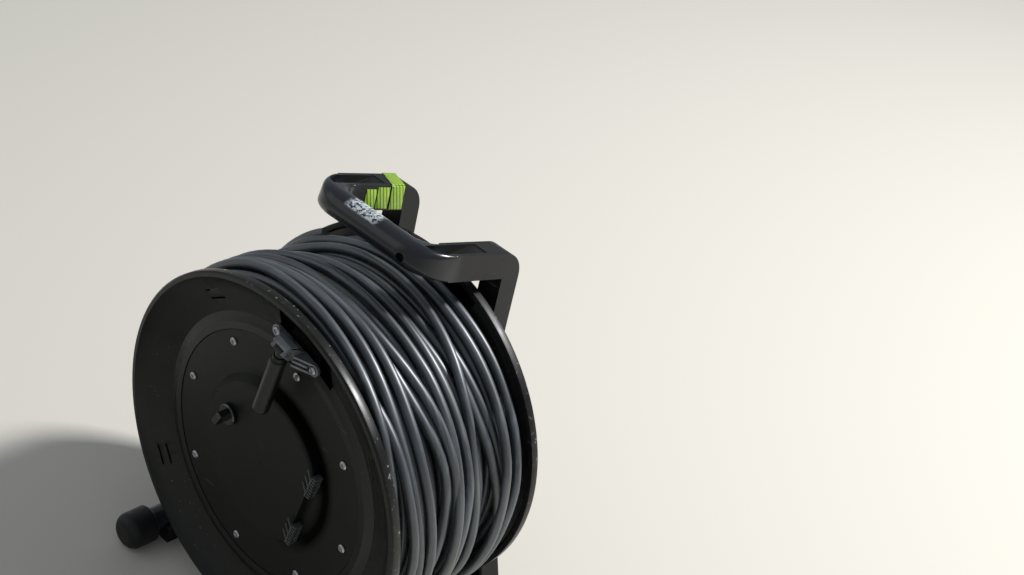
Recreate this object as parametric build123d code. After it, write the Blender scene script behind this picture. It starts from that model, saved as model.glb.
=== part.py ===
from build123d import *
import os
from math import sqrt

# Cable drum on a one-sided carrying frame, all sizes in millimetres.
# +X is to the right along the drum's diameter, +Y points along the axle from the crank side to
# the frame side, and +Z is up. The object stands on Z = 0. Lengths along the axle are measured
# from the front edge of the front rim, and place() centres the finished solids on the origin.

# Drum
flange_diameter = 480
drum_width = 242
axle_height = 264
drum_turn = 12
flange_wall = 6
rim_width = 12
rim_lip = 7
rim_edge_round = 2.0
rim_step = 3
plateau_width = 10
plateau_depth = 20
trough_step = 12
trough_depth = 24
core_radius = 104
core_wall = 4

# Cover disc on the crank side
cover_radius = 163
cover_thickness = 4
cover_drop = 1
groove_gap = 0.8
dish_top_radius = 101
dish_base_radius = 110
dish_height = 9
dish_chord = 78
cover_screw_inset = 15
cover_screw_count = 8

# Slots for cable ties in the flanges
slot_inset = 18
slot_spacing = 11
slot_length = 27
slot_width = 2.4
slot_groups = 4

# Screws
screw_radius = 2.0
screw_head_radius = 5.5
screw_head_height = 2.8
screw_length = 9
socket_radius = 2.2
socket_depth = 1.6
screw_clearance = 0.05

# Folding crank
crank_offset = -8
crank_hinge_rise = 14
crank_stand = 12
crank_grip_radius = 10
crank_grip_length = 90
crank_neck_length = 16
crank_neck_radius = 6
crank_eye_width = 12
crank_pin_radius = 4
crank_pin_clearance = 0.05
crank_side_gap = 0.4
bracket_cheek = 5
bracket_screw_spacing = 66
bracket_inset = 4
bracket_seat = 14
bracket_foot_radius = 8
bracket_foot_height = 4
bracket_foot_clearance = 1
bracket_rib = 3
pocket_half_width = 46
pocket_offset = 10
pocket_inset = 5
pocket_rim_gap = 1
pocket_depth = 4
pocket_wall = 3

# Knob on the cover
knob_circle = 70
knob_angle = 165
knob_base_radius = 14
knob_base_height = 6
knob_bar_length = 25
knob_bar_width = 8
knob_bar_height = 15
knob_spindle_radius = 5
knob_spindle_length = 14
knob_clearance = 0.05
knob_gap = 0.3

# Comb clips beside the dish
clip_length = 30
clip_width = 8
clip_height = 9
clip_offset = 47
clip_tooth_count = 8
clip_tooth_depth = 3
clip_fin_count = 3
clip_fin_height = 11
clip_fin_thickness = 1.6
clip_fin_length = 9
clip_fin_pitch = 5

# Wound cable
cable_diameter = 12
winding_rise = 1
winding_drop = 18
winding_gap = 0.5
winding_groove = 4
winding_full_share = 0.4

# Bearing
axle_radius = 12.5
axle_clearance = 0.05
axle_head_radius = 22
axle_head_thickness = 6
hub_radius = 30
hub_reach = 20
bearing_gap = 0.5
nut_flats = 36
nut_thickness = 8

# Frame
frame_rear = 291
post_depth = 31
post_outer = 103
post_width = 32
post_knee_height = 327
foot_outer = 204
foot_block_width = 42
foot_block_height = 24
foot_edge_height = 18
foot_front = 22
leg_width_bottom = 38
leg_corner_radius = 45
frame_corner_chamfer = 10
arm_rear_top = 532
arm_front_top = 577
arm_thickness = 34
arm_corner_radius = 42
arm_pocket_front = 141
arm_pocket_length = 87
arm_pocket_floor = 549
arm_pocket_wall = 5.5
grip_depth = 134
grip_radius = 17.5
grip_bend_radius = 34
grip_flat = 0.5
arm_edge_round = 2
panel_bottom = 169
panel_top = 359
panel_thickness = 8
panel_rib = 6
panel_rib_depth = 14
boss_radius = 42
leg_recess_wall = 5
leg_recess_depth = 24
leg_rib_count = 4
leg_rib_thickness = 4
vent_radius = 5.5
vent_depth = 7
vent_offset = 10

# Foot tubes and caps
tube_radius = 17
tube_clearance = 0.05
tube_wall = 2.5
tube_rear = 218
cap_radius = 25
cap_front = -33
cap_length = 42
cap_round = 14
cap_wall_end = 12

# Values that follow from the sizes above
flange_radius = flange_diameter / 2
plateau_radius = cover_radius + plateau_width
trough_radius = plateau_radius + trough_step
cover_screw_circle = cover_radius - cover_screw_inset
slot_circle = trough_radius + slot_inset
bracket_screw_height = trough_radius + bracket_inset
crank_hinge_height = bracket_screw_height + crank_hinge_rise
drum_centre = (0, 0, axle_height)
back_face = trough_depth + flange_wall
cover_face = plateau_depth + cover_drop
seat_face = cover_face + cover_thickness
dish_face = cover_face - dish_height
rear_back_face = drum_width - back_face
rim_inside = flange_radius - rim_lip
cone_end = rim_inside - rim_edge_round
pocket_inner_radius = trough_radius - pocket_inset
pocket_outer_radius = cone_end - pocket_rim_gap
winding_front_radius = flange_radius + winding_rise
winding_rear_radius = winding_front_radius - winding_drop
tray_step = pocket_depth + pocket_wall - flange_wall
frame_front = frame_rear - post_depth
crank_front = -(crank_stand + crank_grip_radius)
middle = (frame_rear + min(crank_front, cap_front)) / 2
tube_centre_x = foot_outer - tube_radius
tube_centre_z = cap_radius
hub_end = frame_front - bearing_gap
arm_inner = post_outer - post_width
arm_middle = (arm_inner + post_outer) / 2
arm_slope = (arm_front_top - arm_rear_top) / (frame_rear - grip_depth)
slope_stretch = sqrt(1 + arm_slope ** 2)
grip_height = arm_front_top - grip_radius * slope_stretch
bend_start = arm_middle - grip_bend_radius


def place(part):
    """Moves a finished solid from the front rim to the middle of the object."""
    return Pos(0, -middle, 0) * part


def on_drum(part):
    """Turns a solid made round the Y axis to the drum's resting angle and lifts it to the axle."""
    return Pos(*drum_centre) * Rot(0, drum_turn, 0) * part


def turned(points):
    """Solid of revolution round the Y axis from (radius, depth) points."""
    return revolve(make_face(Polyline(*points, close=True)), Axis.Y, 360)


def rod(radius, start, end, x=0, z=0):
    """Cylinder along Y between two depths."""
    return Pos(x, (start + end) / 2, z) * Rot(90, 0, 0) * Cylinder(radius, end - start)


def box_between(x0, x1, y0, y1, z0, z1):
    """Box given by its limits."""
    return Pos((x0 + x1) / 2, (y0 + y1) / 2, (z0 + z1) / 2) * Box(x1 - x0, y1 - y0, z1 - z0)


def plate_xz(points, y0, y1):
    """Outline in (x, z) pushed from depth y0 to depth y1."""
    face = make_face(Polyline(*[(x, y0, z) for x, z in points], close=True))
    return extrude(face, amount=y1 - y0, dir=(0, 1, 0))


def plate_yz(points, x0, x1):
    """Outline in (y, z) pushed from x0 to x1."""
    face = make_face(Polyline(*[(x0, y, z) for y, z in points], close=True))
    return extrude(face, amount=x1 - x0, dir=(1, 0, 0))


def plate_xy(points, z0, z1):
    """Outline in (x, y) pushed from height z0 to height z1."""
    face = make_face(Polyline(*[(x, y, z0) for x, y in points], close=True))
    return extrude(face, amount=z1 - z0, dir=(0, 0, 1))


def mirrored(part):
    """The solid and its mirror image across the middle plane."""
    return part + mirror(part, Plane.YZ)


def screw():
    """Socket head screw with its head on depth 0, pointing along +Y."""
    body = rod(screw_head_radius, -screw_head_height, 0) + rod(screw_radius, 0, screw_length)
    rim = body.faces().sort_by(Axis.Y)[0].outer_wire().edges()
    body = fillet(rim, screw_head_height * 0.35)
    socket_floor = -screw_head_height + socket_depth
    return body - rod(socket_radius, -screw_head_height - 1, socket_floor)


def cover_screw_places():
    """Places of the cover screws in the drum's own frame, as (x, z)."""
    return [(spot.position.X, spot.position.Y)
            for spot in PolarLocations(cover_screw_circle, cover_screw_count)]


def bracket_screw_places():
    """Places of the two bracket screws in the drum's own frame, as (x, z)."""
    half = bracket_screw_spacing / 2
    return [(crank_offset - half, bracket_screw_height), (crank_offset + half, bracket_screw_height)]


def flange_profile(inner_radius):
    """Section of a moulded flange as (radius, depth) points, front face first."""
    return [
        (inner_radius, seat_face),
        (cover_radius + groove_gap, seat_face),
        (cover_radius + groove_gap, plateau_depth),
        (plateau_radius, plateau_depth),
        (trough_radius, trough_depth),
        (cone_end, rim_step),
        (rim_inside, 0),
        (flange_radius - rim_edge_round, 0),
        (flange_radius, rim_edge_round),
        (flange_radius, rim_width),
        (rim_inside, rim_width),
        (cone_end, rim_step + flange_wall),
        (trough_radius, back_face),
        (inner_radius, back_face),
    ]


def cone_depth(radius):
    """Depth of the flange's outer cone at a radius."""
    share = (radius - trough_radius) / (cone_end - trough_radius)
    return trough_depth + share * (rim_step - trough_depth)


def flange_back(radius):
    """Depth of the flange's inner face at a radius, from the flange's own front edge."""
    if radius >= rim_inside:
        return rim_width
    if radius >= cone_end:
        share = (radius - cone_end) / rim_edge_round
        return rim_step + flange_wall + share * (rim_width - rim_step - flange_wall)
    return min(back_face, cone_depth(radius) + flange_wall)


def tie_slots():
    """Cutters for the pairs of slots in a flange."""
    cutter = Box(slot_length, 4 * back_face, slot_width)
    pairs = []
    for row in range(2):
        radius = slot_circle + row * slot_spacing
        for group in range(slot_groups):
            angle = 45 + group * 360 / slot_groups
            pairs.append(Rot(0, angle, 0) * Pos(0, 0, radius) * cutter)
    return Part() + pairs


def front_flange():
    """Flange on the crank side, with the seat of the cover and the pocket of the crank."""
    body = turned(flange_profile(core_radius - core_wall)) - tie_slots()
    inner, outer = pocket_inner_radius, pocket_outer_radius
    floor_inner = trough_depth + pocket_depth
    floor_outer = cone_depth(outer) + pocket_depth
    tray_inner = inner - pocket_wall
    tray_ring = turned([
        (tray_inner, trough_depth + pocket_wall),
        (trough_radius, trough_depth + pocket_wall),
        (outer, cone_depth(outer) + pocket_wall),
        (outer, floor_outer + pocket_wall),
        (trough_radius, floor_inner + pocket_wall),
        (tray_inner, floor_inner + pocket_wall),
    ])
    hollow_ring = turned([
        (inner, -1),
        (outer, -1),
        (outer, floor_outer),
        (trough_radius, floor_inner),
        (inner, floor_inner),
    ])
    seat_ring = turned([
        (inner, 0),
        (outer, 0),
        (outer, floor_outer + pocket_wall / 2),
        (trough_radius, floor_inner + pocket_wall / 2),
        (inner, floor_inner + pocket_wall / 2),
    ])
    body += tray_ring & pocket_box(pocket_half_width + pocket_wall)
    body -= hollow_ring & pocket_box(pocket_half_width)
    for x, z in bracket_screw_places():
        body += seat_ring & rod(bracket_foot_radius, bracket_seat, back_face, x, z)
        body -= rod(screw_radius + screw_clearance, bracket_seat - 1, back_face + tray_step + 1, x, z)
    for x, z in cover_screw_places():
        body -= rod(screw_radius + screw_clearance, seat_face - 1, back_face + 1, x, z)
    return body


def pocket_box(half_width):
    """Block that limits the crank's pocket to one stretch of the flange."""
    x = crank_offset + pocket_offset
    return box_between(x - half_width, x + half_width, -2, 2 * back_face, 0, flange_radius)


def rear_flange():
    """Flange on the frame side, with the bearing hub in its middle."""
    bore = axle_radius + axle_clearance
    mirror_profile = [(r, drum_width - y) for r, y in flange_profile(bore)]
    body = turned(mirror_profile) - Pos(0, drum_width, 0) * tie_slots()
    hub = turned([
        (bore, rear_back_face - hub_reach),
        (hub_radius, rear_back_face - hub_reach),
        (hub_radius, hub_end),
        (bore, hub_end),
    ])
    return body + hub


def drum_core():
    """Barrel that the cable is wound on."""
    inner = core_radius - core_wall
    return turned([
        (inner, back_face),
        (core_radius, back_face),
        (core_radius, rear_back_face),
        (inner, rear_back_face),
    ])


def cover_disc():
    """Screwed cover with its raised dish, cut straight beside the comb clips."""
    disc = rod(cover_radius, cover_face, seat_face)
    cone = turned([
        (0, dish_face),
        (dish_top_radius, dish_face),
        (dish_base_radius, cover_face + 0.5),
        (0, cover_face + 0.5),
    ])
    chord_side = box_between(-flange_radius, dish_chord, -1, back_face, -flange_radius, flange_radius)
    body = disc + (cone & chord_side)
    hollow = turned([
        (0, dish_face + cover_thickness),
        (dish_top_radius - cover_thickness, dish_face + cover_thickness),
        (dish_base_radius - cover_thickness, seat_face + 1),
        (0, seat_face + 1),
    ])
    inner_limit = dish_chord - cover_thickness
    body -= hollow & box_between(-flange_radius, inner_limit, -1, back_face + 1,
                                 -flange_radius, flange_radius)
    for x, z in cover_screw_places():
        body -= rod(screw_radius + 2 * screw_clearance, -1, back_face, x, z)
    body -= knob_place(rod(knob_spindle_radius + knob_clearance, -1, back_face))
    return body


def knob_place(part):
    """Moves a solid made round the Y axis to the knob's axis on the drum."""
    return Rot(0, -knob_angle, 0) * Pos(knob_circle, 0, 0) * part


def lock_knob():
    """Round base, bar to grip and a spindle through the cover."""
    top = dish_face - knob_gap
    base = rod(knob_base_radius, top - knob_base_height, top)
    base = chamfer(base.faces().sort_by(Axis.Y)[0].edges(), 1.5)
    bar_top = top - knob_base_height - knob_bar_height
    bar = plate_yz([
        (top - knob_base_height, -knob_bar_length / 2),
        (bar_top, -knob_bar_length / 2 + 3),
        (bar_top, knob_bar_length / 2 - 3),
        (top - knob_base_height, knob_bar_length / 2),
    ], -knob_bar_width / 2, knob_bar_width / 2)
    bar = fillet(bar.edges().filter_by(Axis.X), 2.5)
    spindle = rod(knob_spindle_radius, top, top + knob_spindle_length)
    return knob_place(base + bar + spindle)


def comb_clip(side):
    """Ribbed strip with slanted fins that grips the cable's end beside the dish."""
    x0 = dish_chord + groove_gap
    x1 = x0 + clip_width
    front = cover_face - clip_height
    middle_z = side * clip_offset
    strip = box_between(x0, x1, front, cover_face, middle_z - clip_length / 2, middle_z + clip_length / 2)
    pitch = clip_length / clip_tooth_count
    notch = Box(clip_width, clip_tooth_depth, pitch / 2)
    notches = []
    for tooth in range(clip_tooth_count - 1):
        z = middle_z - clip_length / 2 + (tooth + 1) * pitch
        notches.append(Pos(x1 - clip_width / 4, front + clip_tooth_depth / 2, z) * notch)
    strip -= notches
    lean = clip_fin_height / 2
    for fin in range(clip_fin_count):
        z = middle_z + clip_length / 2 - clip_fin_length - fin * clip_fin_pitch
        blade = plate_yz([
            (front, z),
            (front, z + clip_fin_thickness * 2),
            (front - clip_fin_height, z + lean + clip_fin_thickness),
            (front - clip_fin_height, z + lean),
        ], x0, x0 + clip_width / 2)
        strip += blade
    return strip


def crank_bracket():
    """Ribbed tent-shaped bracket that carries the folding crank."""
    hinge_y = -crank_stand
    half_eye = crank_eye_width / 2 + crank_side_gap
    cheek_outer = half_eye + bracket_cheek
    foot_top = bracket_seat - bracket_foot_height
    reach = bracket_screw_spacing / 2
    low = bracket_screw_height - bracket_foot_radius
    high = bracket_screw_height + bracket_foot_radius
    eye = crank_pin_radius + bracket_cheek
    hinge_z = crank_hinge_height
    body = box_between(-reach, reach, foot_top, bracket_seat, low, high)
    for side in (-1, 1):
        body += rod(bracket_foot_radius, foot_top, bracket_seat, side * reach, bracket_screw_height)
        inner, outer = sorted((side * half_eye, side * cheek_outer))
        body += plate_yz([
            (bracket_seat, low),
            (bracket_seat, high),
            (hinge_y, hinge_z + eye),
            (hinge_y - eye, hinge_z),
            (hinge_y, hinge_z - eye),
        ], inner, outer)
        for z in (low, bracket_screw_height - bracket_rib / 2, high - bracket_rib):
            body += plate_xy([
                (side * half_eye, foot_top),
                (side * reach, foot_top),
                (side * cheek_outer, hinge_y + eye),
                (side * half_eye, hinge_y + eye),
            ], z, z + bracket_rib)
    body -= Pos(0, hinge_y, hinge_z) * Rot(0, 90, 0) * Cylinder(crank_pin_radius, 2 * cheek_outer + 2)
    for side in (-1, 1):
        x = side * reach
        body -= rod(screw_radius + screw_clearance, foot_top - 1, bracket_seat + 1,
                    x, bracket_screw_height)
        body -= rod(screw_head_radius + bracket_foot_clearance, hinge_y - eye, foot_top,
                    x, bracket_screw_height)
    return Pos(crank_offset, 0, 0) * body


def crank_pin():
    """Steel pin through the bracket's cheeks."""
    cheek_outer = crank_eye_width / 2 + crank_side_gap + bracket_cheek
    return (Pos(crank_offset, -crank_stand, crank_hinge_height) * Rot(0, 90, 0)
            * Cylinder(crank_pin_radius, 2 * cheek_outer))


def crank_grip():
    """Round handle folded down over the cover, with the eye that it turns on."""
    eye_radius = crank_pin_radius + bracket_cheek - 1
    eye = Rot(0, 90, 0) * Cylinder(eye_radius, crank_eye_width)
    neck = Pos(0, 0, -crank_neck_length / 2) * Cylinder(crank_neck_radius, crank_neck_length)
    handle = Cylinder(crank_grip_radius, crank_grip_length)
    handle = fillet(handle.faces().sort_by(Axis.Z)[0].edges(), crank_grip_radius * 0.8)
    handle = fillet(handle.faces().sort_by(Axis.Z)[-1].edges(), crank_grip_radius * 0.3)
    handle = Pos(0, 0, -crank_neck_length - crank_grip_length / 2) * handle
    hole = Rot(0, 90, 0) * Cylinder(crank_pin_radius + crank_pin_clearance, crank_eye_width + 2)
    return Pos(crank_offset, -crank_stand, crank_hinge_height) * (eye + neck + handle - hole)


def cable_winding():
    """Cable wound between the flanges, fuller on the crank side, with its turns cut in."""
    gap = winding_gap
    front_radius = winding_front_radius - winding_groove
    end_radius = winding_rear_radius - winding_groove
    start_y = flange_back(front_radius) + tray_step + gap
    end_y = drum_width - flange_back(end_radius) - gap
    count = round((end_y - start_y) / cable_diameter)
    pitch = (end_y - start_y) / count
    points = [
        (core_radius + gap, back_face + tray_step + gap),
        (trough_radius, back_face + tray_step + gap),
    ]
    drop = winding_front_radius - winding_rear_radius
    for turn in range(count):
        past_full = max(0, (turn + 1) / count - winding_full_share)
        crest = winding_front_radius - drop * past_full / (1 - winding_full_share)
        y = start_y + turn * pitch
        points.append((crest - winding_groove, y))
        points.append((crest, y + pitch / 2))
    points.append((end_radius, end_y))
    points.append((trough_radius, rear_back_face - gap))
    points.append((core_radius + gap, rear_back_face - gap))
    return turned(points)


def axle():
    """Fixed steel axle with its head inside the barrel."""
    head_back = rear_back_face - hub_reach - bearing_gap
    shank = rod(axle_radius, head_back, frame_rear - nut_thickness / 2)
    head = rod(axle_head_radius, head_back - axle_head_thickness, head_back)
    return chamfer(head.faces().sort_by(Axis.Y)[0].edges(), 1.5) + shank


def axle_nut():
    """Hexagon nut behind the frame's boss."""
    seat = frame_front + panel_thickness + panel_rib_depth
    corner = nut_flats / sqrt(3)
    face = Plane.XZ * RegularPolygon(corner, 6)
    nut = Pos(0, seat + nut_thickness, 0) * extrude(face, amount=nut_thickness)
    return nut - rod(axle_radius, seat - 1, seat + nut_thickness + 1)


def grip_loop():
    """Round grip whose bend changes little by little into the flat arm, right half."""
    plane = Plane(origin=(0, grip_depth, grip_height), x_dir=(1, 0, 0), z_dir=(0, arm_slope, 1))
    arc = RadiusArc((bend_start, 0), (arm_middle, grip_bend_radius), -grip_bend_radius)
    bend = plane * (Curve() + arc)
    width = 2 * grip_radius
    round_section = RectangleRounded(width, width, grip_radius - grip_flat)
    flat_section = RectangleRounded(post_width, arm_thickness, arm_edge_round)
    bar_end = Plane(origin=bend @ 0, x_dir=plane.y_dir * -1, z_dir=bend % 0) * round_section
    arm_plane = Plane(origin=bend @ 1, x_dir=(1, 0, 0), z_dir=bend % 1)
    elbow = sweep([bar_end, arm_plane * flat_section], path=bend, multisection=True)
    return elbow + extrude(bar_end, amount=-bend_start), arm_plane


def arm(arm_plane):
    """Arm from the grip's bend to the rear corner, running down to the post."""
    start = arm_plane.origin
    half = arm_plane.y_dir * (arm_thickness / 2)
    top_at_post = arm_rear_top + arm_slope * post_depth
    body = plate_yz([
        (start.Y + half.Y, start.Z + half.Z),
        (start.Y - half.Y, start.Z - half.Z),
        (frame_rear, arm_rear_top),
        (frame_rear, post_knee_height),
        (frame_front, post_knee_height),
        (frame_front, top_at_post - arm_thickness * slope_stretch),
    ], arm_inner, post_outer)
    rear_edge = body.edges().filter_by(Axis.X).group_by(Axis.Y)[-1].sort_by(Axis.Z)[-1]
    return fillet(rear_edge, arm_corner_radius)


def arm_pocket():
    """Recess with a level floor in the sloping arm's top face, its front end rounded."""
    inner = arm_inner + arm_pocket_wall
    outer = post_outer - arm_pocket_wall
    width = outer - inner
    round_end = arm_pocket_front + width
    back = arm_pocket_front + arm_pocket_length
    top = arm_front_top + arm_thickness
    rounded = (Pos(inner, round_end, (arm_pocket_floor + top) / 2)
               * Cylinder(width, top - arm_pocket_floor))
    front = rounded & box_between(inner, outer, arm_pocket_front, round_end, 0, top)
    return front + box_between(inner, outer, round_end, back, arm_pocket_floor, top)


def leg_inner(height):
    """Inner edge of post and leg at a height."""
    knee = post_knee_height - post_width
    share = max(0, knee - height) / (knee - foot_block_height)
    return arm_inner + share * (foot_outer - leg_width_bottom - arm_inner)


def leg_outer(height):
    """Outer edge of post and leg at a height."""
    share = max(0, post_knee_height - height) / (post_knee_height - foot_edge_height)
    return post_outer + share * (foot_outer - post_outer)


def leg():
    """Splayed leg with the block that the foot tube lies in."""
    bottom_inner = foot_outer - leg_width_bottom
    column = plate_xz([
        (arm_inner, post_knee_height + 1),
        (post_outer, post_knee_height + 1),
        (post_outer, post_knee_height),
        (foot_outer, foot_edge_height),
        (foot_outer, 0),
        (bottom_inner, 0),
        (bottom_inner, foot_block_height),
        (arm_inner, post_knee_height - post_width),
    ], frame_front, frame_rear)
    recess_front = frame_front - 1
    recess_back = frame_front + leg_recess_depth
    wall = leg_recess_wall
    low = foot_block_height + leg_corner_radius
    high = post_knee_height - post_width
    recess = plate_xz([
        (leg_inner(high) + wall, high),
        (leg_outer(high) - wall, high),
        (leg_outer(low) - wall, low),
        (leg_inner(low) + wall, low),
    ], recess_front, recess_back)
    step = (high - low) / (leg_rib_count + 1)
    for rib in range(leg_rib_count):
        z = low + (rib + 1) * step
        recess -= box_between(0, foot_outer, recess_front, recess_back + 1,
                              z - leg_rib_thickness / 2, z + leg_rib_thickness / 2)
    block = box_between(foot_outer - foot_block_width, foot_outer, foot_front, frame_rear,
                        0, foot_block_height)
    body = column - recess + block + corner_gusset()
    body -= rod(tube_radius + tube_clearance, foot_front - 1, tube_rear + tube_clearance,
                tube_centre_x, tube_centre_z)
    rear_corner = body.edges().filter_by(Axis.X).group_by(Axis.Y)[-1].sort_by(Axis.Z)[0]
    return chamfer(rear_corner, frame_corner_chamfer)


def corner_gusset():
    """Rounded inner corner between the block and the leg's front face."""
    corner_y = frame_front - leg_corner_radius
    corner_z = foot_block_height + leg_corner_radius
    outline = plate_xz([
        (foot_outer, 0),
        (foot_outer, foot_edge_height),
        (leg_outer(corner_z), corner_z),
        (leg_inner(corner_z), corner_z),
        (leg_inner(0), foot_block_height),
        (leg_inner(0), 0),
    ], corner_y, frame_front)
    round_cut = (Pos(foot_outer, corner_y, corner_z) * Rot(0, 90, 0)
                 * Cylinder(leg_corner_radius, 4 * leg_width_bottom))
    return outline - round_cut - box_between(0, 2 * foot_outer, 0, frame_rear,
                                             0, foot_block_height / 2)


def cross_panel():
    """Ribbed panel between the legs, with the boss that holds the axle."""
    overlap = 2
    half_top = arm_inner + overlap
    half_bottom = leg_inner(panel_bottom) + overlap
    half_axle = leg_inner(axle_height) + overlap
    knee = post_knee_height - post_width
    outline = [
        (-half_top, panel_top),
        (half_top, panel_top),
        (half_top, knee),
        (half_bottom, panel_bottom),
        (-half_bottom, panel_bottom),
        (-half_top, knee),
    ]
    back = frame_front + panel_thickness
    rib_back = back + panel_rib_depth
    body = plate_xz(outline, frame_front, back)
    body += box_between(-half_bottom, half_bottom, back, rib_back,
                        panel_bottom, panel_bottom + panel_rib)
    body += box_between(-half_top, half_top, back, rib_back, panel_top - panel_rib, panel_top)
    body += box_between(-half_axle, half_axle, back, rib_back,
                        axle_height - panel_rib / 2, axle_height + panel_rib / 2)
    body += box_between(-panel_rib / 2, panel_rib / 2, back, rib_back, panel_bottom, panel_top)
    body += rod(boss_radius, frame_front, rib_back, 0, axle_height)
    return body - rod(axle_radius, frame_front - 1, frame_rear + 1, 0, axle_height)


def side_frame():
    """One-piece moulding: handle, arms, posts, legs and the panel with the axle's boss."""
    loop, arm_plane = grip_loop()
    side = loop + arm(arm_plane) + leg() - arm_pocket()
    grip_front = grip_depth - grip_radius
    vent = rod(vent_radius, grip_front - grip_radius, grip_front + vent_depth,
               bend_start + vent_offset, grip_height)
    return mirrored(side) + cross_panel() - vent


def foot_tube():
    """Round tube lying in the foot block."""
    outer = rod(tube_radius, cap_front + cap_wall_end, tube_rear, tube_centre_x, tube_centre_z)
    rear_edge = outer.faces().sort_by(Axis.Y)[-1].edges()
    outer = fillet(rear_edge, tube_radius * 0.6)
    inner = rod(tube_radius - tube_wall, cap_front + cap_wall_end - 1,
                tube_rear - tube_radius * 0.6, tube_centre_x, tube_centre_z)
    return outer - inner


def foot_cap():
    """Thick round cap pushed over the tube's front end."""
    body = rod(cap_radius, cap_front, cap_front + cap_length, tube_centre_x, tube_centre_z)
    body = fillet(body.faces().sort_by(Axis.Y)[0].edges(), cap_round)
    body = chamfer(body.faces().sort_by(Axis.Y)[-1].edges(), 2)
    return body - rod(tube_radius + tube_clearance, cap_front + cap_wall_end,
                      cap_front + cap_length + 1, tube_centre_x, tube_centre_z)


def save(name, part):
    """Writes one piece to its own file."""
    part.label = name
    export_step(part, f"parts/{name}.step")


def main():
    """Builds every piece of the drum and its frame."""
    os.makedirs("parts", exist_ok=True)
    save("side_frame", place(side_frame()))
    for side, name in ((1, "right"), (-1, "left")):
        tube = foot_tube()
        cap = foot_cap()
        if side < 0:
            tube = mirror(tube, Plane.YZ)
            cap = mirror(cap, Plane.YZ)
        save(f"foot_tube_{name}", place(tube))
        save(f"foot_cap_{name}", place(cap))
    save("axle", place(Pos(*drum_centre) * axle()))
    save("axle_nut", place(Pos(*drum_centre) * axle_nut()))
    save("front_flange", place(on_drum(front_flange())))
    save("rear_flange", place(on_drum(rear_flange())))
    save("drum_core", place(on_drum(drum_core())))
    save("cover_disc", place(on_drum(cover_disc())))
    save("cable_winding", place(on_drum(cable_winding())))
    save("crank_bracket", place(on_drum(crank_bracket())))
    save("crank_pin", place(on_drum(crank_pin())))
    save("crank_grip", place(on_drum(crank_grip())))
    save("lock_knob", place(on_drum(lock_knob())))
    save("comb_clip_upper", place(on_drum(comb_clip(1))))
    save("comb_clip_lower", place(on_drum(comb_clip(-1))))
    for number, (x, z) in enumerate(cover_screw_places(), 1):
        save(f"cover_screw_{number}", place(on_drum(Pos(x, cover_face, z) * screw())))
    for number, (x, z) in enumerate(bracket_screw_places(), 1):
        foot_top = bracket_seat - bracket_foot_height
        save(f"bracket_screw_{number}", place(on_drum(Pos(x, foot_top, z) * screw())))


main()
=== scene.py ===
# %% [markdown]
# # A cable drum on its carrying frame
# The real object is a round drum of moulded plastic, full of black rubber cable, that turns on one
# side of a carrying frame with a round grip. Its solids are loaded first, because every size below
# is read against them. This lesson then dresses them: it makes the forms that a plain solid is too
# stiff for, such as the wound cable, and gives every surface its finish.

# %% Load the solids
import math

import bpy
import numpy as np
from mathutils import Matrix, Vector


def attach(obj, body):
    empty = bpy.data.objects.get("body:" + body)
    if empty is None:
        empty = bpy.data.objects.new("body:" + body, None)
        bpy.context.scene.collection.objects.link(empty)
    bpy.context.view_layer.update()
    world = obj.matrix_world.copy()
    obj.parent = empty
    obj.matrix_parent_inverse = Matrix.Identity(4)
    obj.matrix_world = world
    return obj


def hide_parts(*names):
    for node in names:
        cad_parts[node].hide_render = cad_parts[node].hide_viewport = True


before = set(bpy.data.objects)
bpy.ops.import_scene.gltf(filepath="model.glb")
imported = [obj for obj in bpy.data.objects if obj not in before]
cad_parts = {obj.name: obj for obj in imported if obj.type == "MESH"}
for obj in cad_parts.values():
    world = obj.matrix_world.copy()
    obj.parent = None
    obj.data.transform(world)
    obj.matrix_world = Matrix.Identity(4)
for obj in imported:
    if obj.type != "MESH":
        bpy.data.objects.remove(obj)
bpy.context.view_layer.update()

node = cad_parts

# %% [markdown]
# ## Sizes
# The drum was measured in millimetres, with depths counted along the axle from the front rim. It
# stands turned by twelve degrees. A piece on it could be made at that slant, but its sizes would be
# hard to read, so each one is made upright about the axle and then turned into place with one
# matrix. The part's origin is on the floor, under the middle of its depth, so pieces on the frame
# only need a shift.

# %% Sizes in millimetres
MM = 0.001
AXLE_HEIGHT = 264
MIDDLE = 129
DRUM_TURN = 12
FLANGE_RADIUS = 240
DRUM_WIDTH = 242
CABLE_RADIUS = 6
TOUCHING = 0.01

to_frame = Matrix.Translation((0, -MIDDLE * MM, 0))
to_drum = Matrix.Translation((0, -MIDDLE * MM, AXLE_HEIGHT * MM)) @ Matrix.Rotation(
    math.radians(DRUM_TURN), 4, "Y")
print("axle at", tuple(round(v, 3) for v in to_drum.translation))


def mm(*values):
    """Millimetres as a vector in metres."""
    return Vector(values) * MM


# %% [markdown]
# ## Ways to make a form
# Turned and moulded pieces start as one of two drawings: a section that is spun round an axis, or a
# flat outline that is pushed to a thickness. A primitive would give neither, so a single point is
# extruded from corner to corner until the drawing closes. Points that end up a hundredth of a
# millimetre apart or less count as touching and become one.

# %% Draw, spin and push
def draw(name, corners):
    """A chain of edges through the corners, left in edit mode with all of it selected."""
    bpy.ops.object.select_all(action="DESELECT")
    bpy.ops.mesh.primitive_plane_add(size=MM)
    obj = bpy.context.object
    obj.name = obj.data.name = name
    bpy.ops.object.mode_set(mode="EDIT")
    bpy.ops.mesh.select_all(action="SELECT")
    bpy.ops.mesh.merge(type="CENTER")
    bpy.ops.transform.translate(value=corners[0])
    for last, corner in zip(corners, corners[1:]):
        bpy.ops.mesh.extrude_vertices_move(TRANSFORM_OT_translate={"value": corner - last})
    bpy.ops.mesh.select_all(action="SELECT")
    return obj


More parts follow.
